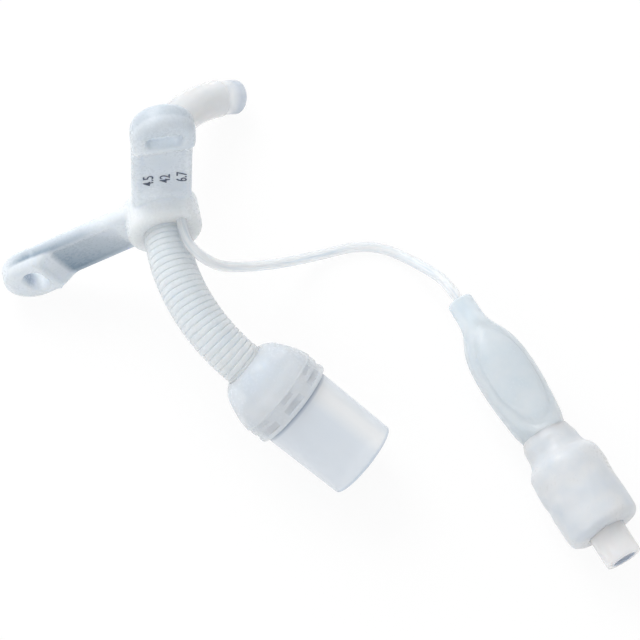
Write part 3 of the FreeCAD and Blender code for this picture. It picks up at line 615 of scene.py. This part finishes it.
def curve_through(points, count):
    """Points on a smooth curve through those given, several to each run."""
    smooth = []
    for index in range(len(points) - 1):
        before = Vector(points[max(index - 1, 0)])
        start = Vector(points[index])
        end = Vector(points[index + 1])
        after = Vector(points[min(index + 2, len(points) - 1)])
        for step in range(count):
            share = step / count
            square, cube = share ** 2, share ** 3
            place = (start * 2 + (end - before) * share
                     + (before * 2 - start * 5 + end * 4 - after) * square
                     + (start * 3 - before - end * 3 + after) * cube) / 2
            smooth.append(tuple(place))
    return smooth + [tuple(points[-1])]


def cutter(width, low, high, depth):
    """A ring of blocks that cut windows into the boot's round wall."""
    inner = BOOT_RADIUS - depth
    outer = BOOT_RADIUS + 0.8
    blocks = []
    for index in range(WINDOW_COUNT):
        angle = 2 * math.pi * index / WINDOW_COUNT
        bpy.ops.object.select_all(action="DESELECT")
        bpy.ops.mesh.primitive_cube_add(size=1)
        block = bpy.context.object
        place = (Matrix.Rotation(angle, 4, "Z")
                 @ Matrix.Translation(((inner + outer) / 2, 0, (low + high) / 2))
                 @ Matrix.Diagonal((outer - inner, width, high - low, 1)))
        block.data.transform(place)
        blocks.append(block)
    only(blocks[0])
    for block in blocks:
        block.select_set(True)
    bpy.ops.object.join()
    return bpy.context.object


def cut_away(piece, tool):
    apply_modifier(piece, "BOOLEAN", object=tool, operation="DIFFERENCE", solver="EXACT")
    bpy.data.objects.remove(tool)


boot_profile = [(4.18, 0.0)] + curve_through(BOOT_DOME, 3)
boot_profile += [(8.78, 7.6), (8.8, 7.75), (8.78, 7.9), (BOOT_RADIUS, 8.0)]
boot_profile += quarter(BOOT_RADIUS, 11.2, 0.4, 0.4)
boot_profile += [(7.98, 11.6), (7.93, 11.55), (7.93, 10.7), (8.15, 10.7), (8.15, 7.7)]
boot_profile += [(7.35, 5.1), (4.18, 5.1), (4.18, 0.0)]
boot = shell("boot_dome", round_stations(boot_profile), 128)
cut_away(boot, cutter(**WINDOW))
cut_away(boot, cutter(**VENT))
settle(boot, boot_place, 35)
boot_finish = silicone("boot_rubber", (0.84, 0.88, 0.93), (0.74, 0.81, 0.89), 0.26, 0.62)
boot_finish.cover(boot)
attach(boot, "tube")
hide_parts("connector_boot")


# Connector. A rigid moulded cone with the standard 15 mm taper. A stem inside it holds the
# extension and its collar sits behind the boot's rim.

CONE_MOUTH = 28.0
CONE_HIGHLIGHT_OFFSET = 2.2
CONE_PAINTED_HIGHLIGHT = (0.98, 0.99, 1.0, 1)
CONE_MOUTH_SHADE = (0.45, 0.56, 0.70, 1)
CONE_RIM_SHADOW = (0.22, 0.30, 0.42, 1)
CONE_WALL_RADIUS = 6.525
STEM_RADIUS = 2.77
STEM_BORE = 2.27


def cone(level):
    """The cone's radius at a level: half its mouth's 15.05 mm, and a taper of 1 in 40."""
    return 7.525 + (CONE_MOUTH - level) * 0.0125


connector_profile = [(STEM_BORE, 2.1), (STEM_RADIUS, 2.1), (STEM_RADIUS, 5.1), (7.05, 5.1)]
connector_profile += [(cone(7.7), 7.7), (cone(8.5), 8.5), (8.05, 8.5), (8.05, 9.3)]
connector_profile += [(cone(9.3), 9.3)]
connector_profile += [(cone(level), level) for level in steps(9.3, CONE_MOUTH - 0.3, 8)]
connector_profile += quarter(cone(CONE_MOUTH - 0.3), CONE_MOUTH - 0.3, 0.3, 0.3)
connector_profile += [(CONE_WALL_RADIUS + 0.15, CONE_MOUTH)]
connector_profile += [(CONE_WALL_RADIUS, CONE_MOUTH - 0.15), (CONE_WALL_RADIUS, 10.1)]
connector_profile += [(STEM_BORE, 6.1), (STEM_BORE, 2.1)]
connector = shell("connector_cone", round_stations(connector_profile), 128)
settle(connector, boot_place, 35)

plastic = Finish("frosted_plastic")
plastic_place = plastic.place()
plastic_haze = plastic.noise(plastic_place, 160.0, 3.0)
plastic_grain = plastic.noise(plastic_place, 3200.0, 2.0)
plastic_color = plastic.tint(plastic_haze, (0.84, 0.88, 0.93, 1), (0.76, 0.82, 0.89, 1))
boot_origin = boot_place.translation
boot_way = boot_place.to_3x3() @ Vector((0, 0, 1))
along_cone = plastic.along(plastic_place, boot_origin, boot_way)
# Painted shadow: a dark band round the cone just under the boot's rim.
rim_shadow_band = plastic.limited(along_cone, 11.3, 11.6) * plastic.limited(along_cone, 12.5, 11.8)
# Painted highlight: a pale band along the cone's side, set across the camera's line of sight.
off_axis = plastic.along(plastic_place, boot_origin, toward.cross(boot_way).normalized())
painted_highlight_band = plastic.limited(off_axis, CONE_HIGHLIGHT_OFFSET, CONE_HIGHLIGHT_OFFSET + 2.5)
painted_highlight_band = painted_highlight_band * plastic.limited(off_axis, CONE_HIGHLIGHT_OFFSET + 5.0, CONE_HIGHLIGHT_OFFSET + 3.5)
plastic_color = plastic.tint(0.8 * painted_highlight_band, plastic_color, CONE_PAINTED_HIGHLIGHT)
# Painted shade: the edge at the cone's mouth is painted bluer.
mouth_painted_shade = plastic.limited(along_cone, 27.3, 27.7)
plastic_color = plastic.tint(0.5 * mouth_painted_shade, plastic_color, CONE_MOUTH_SHADE)
plastic.surface({
    "Base Color": plastic.tint(0.7 * rim_shadow_band, plastic_color, CONE_RIM_SHADOW),
    "Roughness": 0.16 + 0.06 * plastic_grain + 0.08 * plastic_haze,
    "Normal": plastic.bump(plastic_grain, 0.1, 0.01),
    "IOR": 1.49,
    "Alpha": 0.72,
    "Subsurface Weight": 0.3,
    "Subsurface Radius": (1.0, 1.0, 1.0),
    "Subsurface Scale": 0.001,
})
plastic.cover(connector)
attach(connector, "tube")
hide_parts("connector_15mm")


# Pilot balloon. A thin silicone bag, blown flat, with an oval crease round its top face. The
# inflation line is bonded into its solid neck and its tail goes into the valve's sleeve.

PILOT_WAY = Vector((0.64102, -0.76752, 0))
PILOT_DOWN = Vector((0, 0, -1))
PILOT_START = Vector((47.1, 1.45, 7.1))
BALLOON_OUTSIDE = [
    (2.5, 2.5, 0.25), (2.52, 2.52, 2.0), (2.58, 2.56, 4.0), (2.9, 2.8, 6.0),
    (3.85, 3.3, 8.0), (4.64, 3.6, 9.6), (5.25, 3.85, 11.6), (5.6, 4.0, 13.8),
    (5.77, 4.02, 16.2), (5.8, 4.0, 18.6), (5.7, 3.98, 21.2), (5.5, 3.95, 23.8),
    (5.25, 4.1, 26.2), (4.95, 4.25, 28.4), (4.4, 4.4, 30.4), (4.4, 4.4, 34.0),
]
BALLOON_WALL = 0.5
BALLOON_SIDES = 120
BALLOON_SQUASH = 4.0 / 5.8
FACE_ANGLE = 60
FACE_MIDDLE = 18.2
FACE_HALF_LENGTH = 11.2
CREASE = [(0.84, 1.1, 0.982), (0.9, 1.04, 0.965), (1.14, 1.3, 1.015), (0.0, 0.7, 1.01)]

balloon_outside = curve_through(BALLOON_OUTSIDE, 6)
balloon_inside = [(wide - BALLOON_WALL, high - BALLOON_WALL, level)
                  for wide, high, level in balloon_outside if level > 6]
balloon_form = [(1.0, 1.0, 0.0), (2.3, 2.3, 0.0)] + balloon_outside
balloon_form += list(reversed(balloon_inside)) + [(1.0, 1.0, 4.8), (1.0, 1.0, 0.0)]
balloon = shell("balloon_bag", balloon_form, BALLOON_SIDES)


def squeeze(piece, nearest, farthest, share):
    """Scale a closed strip that runs round the bag's oval top face, inwards or out."""
    only(piece)
    bpy.ops.object.mode_set(mode="EDIT")
    bpy.ops.mesh.select_mode(type="VERT")
    bpy.ops.mesh.select_all(action="DESELECT")
    bpy.ops.object.mode_set(mode="OBJECT")
    for vertex in piece.data.vertices:
        x, y, z = vertex.co
        angle = math.degrees(math.atan2(abs(x) * BALLOON_SQUASH, -y))
        away = math.hypot(angle / FACE_ANGLE, (z - FACE_MIDDLE) / FACE_HALF_LENGTH)
        vertex.select = nearest < away < farthest
    bpy.ops.object.mode_set(mode="EDIT")
    bpy.ops.transform.resize(value=(share, share, 1), center_override=(0, 0, 0))
    bpy.ops.object.mode_set(mode="OBJECT")


for nearest, farthest, share in CREASE:
    squeeze(balloon, nearest, farthest, share)
only(balloon)
bpy.ops.object.shade_smooth()
pilot_place = axes(PILOT_DOWN.cross(PILOT_WAY), PILOT_DOWN, PILOT_WAY, PILOT_START)
seat(balloon, pilot_place)
balloon_finish = silicone("balloon_film", (0.80, 0.86, 0.91), (0.68, 0.77, 0.85), 0.24, 0.6)
balloon_finish.cover(balloon)
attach(balloon, "tube")
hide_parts("pilot_balloon")


# Valve sleeve. A thick, soft silicone cover, dipped over the balloon's tail and the
# valve's barrel, so its shoulder is gradual and its skin uneven.

SLEEVE_START = 30.5
sleeve_profile = [(4.43, 0.0), (4.55, 0.0)]
sleeve_profile += curve_through([(4.6, 0.05), (4.85, 0.7), (5.12, 1.6), (5.28, 2.8), (5.45, 4.0),
                                 (5.9, 4.95), (6.5, 5.7), (6.95, 6.6), (7.1, 7.6)], 4)
sleeve_profile += [(7.1, level) for level in steps(7.6, 19.7, 24)]
sleeve_profile += quarter(7.1, 19.7, 1.8, 1.8, 8)
sleeve_profile += [(3.7, 21.5), (3.53, 21.35), (3.53, 20.0), (5.9, 20.0), (5.9, 7.2)]
sleeve_profile += [(4.43, 4.6), (4.43, 0.0)]
sleeve = shell("valve_cover", round_stations(sleeve_profile), 96)
unevenness = bpy.data.textures.new("dipped_skin", "CLOUDS")
unevenness.noise_scale = 3.5
unevenness.noise_depth = 1
apply_modifier(sleeve, "DISPLACE", texture=unevenness, strength=0.4, mid_level=0.55)
valve_place = pilot_place @ Matrix.Translation((0, 0, SLEEVE_START))
settle(sleeve, valve_place, 40)
sleeve_finish = silicone("cover_rubber", (0.88, 0.88, 0.88), (0.66, 0.73, 0.82), 0.3, 0.78,
                         mottle=150.0, relief=0.1)
sleeve_finish.cover(sleeve)
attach(sleeve, "tube")
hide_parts("valve_sleeve")


# Valve body. A rigid clear moulding: a barrel inside the sleeve and a luer socket in front,
# where a syringe is pushed in.

LUER_MOUTH = 27.5
BORE_PAINTED_SHADE = (0.26, 0.34, 0.46, 1)

body_profile = [(4.3, 8.5), (5.87, 8.5), (5.87, 20.0), (3.5, 20.0)]
body_profile += [(3.5, level) for level in (20.4, 22.0, 24.0, 26.0)]
body_profile += quarter(3.5, 27.2, 0.3, 0.3)
body_profile += [(2.3, LUER_MOUTH), (2.15, 27.35), (1.925, 20.0), (1.4, 20.0), (1.4, 18.8)]
body_profile += [(4.3, 18.8), (4.3, 8.5)]
luer = shell("luer_body", round_stations(body_profile), 96)
settle(luer, valve_place, 35)


def bore_painted_shade(finish, place, color):
    """Painted shade: the inside of the luer's open bore is painted a deep blue."""
    bore_shade_mask = finish.near(place, valve_place @ Vector((0, 0, LUER_MOUTH - 0.4)), 2.25, 2.75)
    return finish.tint(0.75 * bore_shade_mask, color, BORE_PAINTED_SHADE)


clear_plastic = silicone("valve_moulding", (0.98, 0.98, 0.99), (0.90, 0.92, 0.95), 0.12, 0.72,
                         mottle=300.0, relief=0.02, extra=bore_painted_shade)
clear_plastic.cover(luer)
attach(luer, "tube")
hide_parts("valve_body")


# Valve works. Turned and pressed parts inside the barrel, mostly hidden: a plastic stem that
# the syringe pushes, a rubber washer, a plastic retainer and a steel spring. The spring is
# coiled here at rest; in use it shortens towards the retainer as the stem goes in.

def worked(name, color, dark, rough, metallic=0.0, scale=900.0):
    finish = Finish(name)
    marks = finish.noise(finish.place(), scale, 3.0)
    finish.surface({
        "Base Color": finish.tint(marks, (*color, 1), (*dark, 1)),
        "Roughness": rough + 0.15 * (marks - 0.5),
        "Normal": finish.bump(marks, 0.2, 0.02),
        "Metallic": metallic,
    })
    return finish


SPRING_LOW = 10.0
SPRING_HIGH = 16.8
SPRING_RADIUS = 2.4
SPRING_WIRE = 0.35
SPRING_TURNS = 4

bpy.ops.object.select_all(action="DESELECT")
bpy.ops.mesh.primitive_circle_add(vertices=12, radius=SPRING_WIRE / 2)
spring = bpy.context.object
spring.name = "coil_spring"
wire_start = Matrix.Translation((SPRING_RADIUS, 0, SPRING_LOW + SPRING_WIRE / 2))
spring.data.transform(wire_start @ Matrix.Rotation(math.pi / 2, 4, "X"))
spring_rise = SPRING_HIGH - SPRING_LOW - SPRING_WIRE
apply_modifier(spring, "SCREW", steps=40, render_steps=40, iterations=SPRING_TURNS,
               screw_offset=spring_rise / SPRING_TURNS)
only(spring)
bpy.ops.object.mode_set(mode="EDIT")
bpy.ops.mesh.select_all(action="SELECT")
bpy.ops.mesh.fill_holes(sides=0)
bpy.ops.object.mode_set(mode="OBJECT")
merge()
settle(spring, valve_place, 50)
worked("spring_wire", (0.62, 0.62, 0.60), (0.5, 0.5, 0.49), 0.25, 1.0).cover(spring)
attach(spring, "tube")
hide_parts("valve_spring")
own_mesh(spring)

stem_finish = worked("stem_moulding", (0.25, 0.33, 0.42), (0.18, 0.25, 0.33), 0.35)
stem_finish.cover(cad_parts["valve_stem"])
stem_finish.cover(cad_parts["valve_retainer"])
worked("washer_rubber", (0.05, 0.05, 0.06), (0.03, 0.03, 0.035), 0.6).cover(
    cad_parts["valve_seal"])


# Table and light. A white table top, a white room and two large soft lamps.

TABLE_GLOW = 0.9
ROOM_LIGHT = 0.72

bpy.ops.object.select_all(action="DESELECT")
bpy.ops.mesh.primitive_plane_add(size=3)
table = bpy.context.object
table.name = "table_top"
top = Finish("table_white")
top_grain = top.noise(top.place(), 40.0)
top_paint = top.node("ShaderNodeBsdfDiffuse", inputs={
    "Color": top.tint(top_grain, (0.93, 0.93, 0.93, 1), (0.95, 0.95, 0.95, 1))})
top_white = top.node("ShaderNodeEmission", inputs={"Color": (1, 1, 1, 1), "Strength": 1.0})
rays = top.node("ShaderNodeLightPath", output="Is Camera Ray")
glossy = top.node("ShaderNodeLightPath", output="Is Glossy Ray")
through = top.node("ShaderNodeLightPath", output="Is Transmission Ray")
mixed = top.node("ShaderNodeMixShader", inputs={
    0: TABLE_GLOW * top.limited(rays + glossy + through, 0.0, 1.0),
    1: top_paint,
    2: top_white,
})
top.show(mixed)
top.cover(table)

world = bpy.data.worlds.new("white_room")
bpy.context.scene.world = world
world.use_nodes = True
background = world.node_tree.nodes["Background"]
background.inputs["Color"].default_value = (1, 1, 1, 1)
background.inputs["Strength"].default_value = ROOM_LIGHT


def lamp(name, spot, size, energy):
    """A square soft lamp that faces the middle of the table."""
    bpy.ops.object.light_add(type="AREA", location=spot)
    made = bpy.context.object
    made.name = name
    made.data.size = size
    made.data.energy = energy
    made.rotation_euler = (-Vector(spot)).to_track_quat("-Z", "Y").to_euler()


lamp("window_lamp", (-0.4, 0.38, 0.48), 0.45, 3.4)
lamp("front_lamp", (-0.15, -0.5, 0.4), 0.4, 0.6)
bpy.context.scene.view_settings.view_transform = "Standard"
